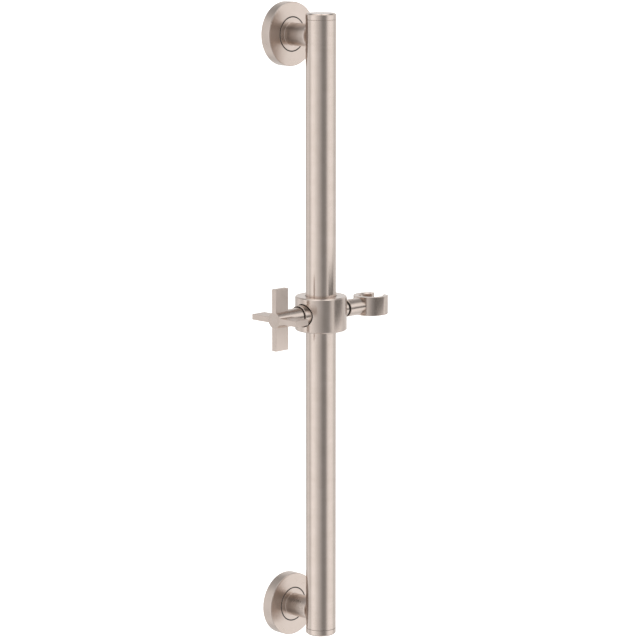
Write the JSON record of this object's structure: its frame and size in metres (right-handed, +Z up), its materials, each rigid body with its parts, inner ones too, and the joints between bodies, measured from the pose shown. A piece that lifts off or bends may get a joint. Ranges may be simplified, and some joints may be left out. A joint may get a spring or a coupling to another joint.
{
  "type": "shower slide bar",
  "caption": "Wall-mounted shower slide bar: round tube on two posts, sliding ring with cross-handle clamp and a swivelling C-shaped hook for a hand shower.",
  "frame": {"origin": "middle of the lower wall bracket's back face, on the wall", "axes": "+X to the right for someone facing the wall, +Y into the wall, +Z up along the rail"},
  "size_m": [0.1566, 0.1095, 0.677],
  "materials": {
    "brushed_nickel": "brushed nickel plate, lines around the tube",
    "satin_nickel": "satin nickel plate",
    "stainless": "plain",
    "brass": "turned",
    "bronze": "sintered",
    "rubber": "moulded",
    "foam": "closed-cell foam",
    "nylon": "moulded"
  },
  "bodies": {
    "rail": {"rail_tube": "brushed_nickel", "lower_wall_bracket": "stainless", "lower_wall_screw_a": "stainless", "lower_wall_screw_b": "stainless", "lower_wall_seal": "foam", "lower_flange": "brushed_nickel", "lower_flange_o_ring": "rubber", "lower_post": "brushed_nickel", "lower_post_grub_screw": "stainless", "lower_rail_bolt": "stainless", "lower_rail_washer": "stainless", "lower_rail_plug": "brass", "lower_end_cap": "brushed_nickel", "lower_cap_o_ring": "rubber", "upper_wall_bracket": "stainless", "upper_wall_screw_a": "stainless", "upper_wall_screw_b": "stainless", "upper_wall_seal": "foam", "upper_flange": "brushed_nickel", "upper_flange_o_ring": "rubber", "upper_post": "brushed_nickel", "upper_post_grub_screw": "stainless", "upper_rail_bolt": "stainless", "upper_rail_washer": "stainless", "upper_rail_plug": "brass", "upper_end_cap": "brushed_nickel", "upper_cap_o_ring": "rubber"},
    "glide": {"upper_glide_ring": "nylon", "lower_glide_ring": "nylon"},
    "slider": {"slider_body": "brushed_nickel", "clamp_bonnet": "satin_nickel", "spindle_o_ring": "rubber", "swivel_boss": "satin_nickel", "swivel_o_ring": "rubber", "swivel_thrust_washer": "bronze", "swivel_wave_washer": "stainless", "swivel_screw": "stainless"},
    "brake": {"brake_shoe": "nylon"},
    "handle": {"cross_handle": "satin_nickel", "clamp_spindle": "stainless", "handle_grub_screw": "stainless"},
    "hook": {"hook": "satin_nickel"}
  },
  "joints": [
    {"name": "slider_travel", "type": "slide", "parent": "rail", "child": "glide", "axis": [0, 0, 1], "range_m": [-0.2915, 0.2575]},
    {"name": "slider_swivel", "type": "hinge", "parent": "glide", "child": "slider", "pos_m": [0, -0.05398, 0.322], "axis": [0, 0, 1], "range_deg": [-19, 25]},
    {"name": "clamp_travel", "type": "slide", "parent": "slider", "child": "brake", "axis": [-1, 0, 0], "range_m": [0, 0.0015]},
    {"name": "handle_turn", "type": "hinge", "parent": "brake", "child": "handle", "pos_m": [0, -0.05398, 0.322], "axis": [-1, 0, 0], "range_deg": [0, 360]},
    {"name": "hook_swivel", "type": "hinge", "parent": "slider", "child": "hook", "pos_m": [0, -0.05398, 0.322], "axis": [1, 0, 0], "continuous": true}
  ],
  "couplings": [
    {"joint": "clamp_travel", "follows": "handle_turn", "m_per_rad": 0.00023873}
  ]
}
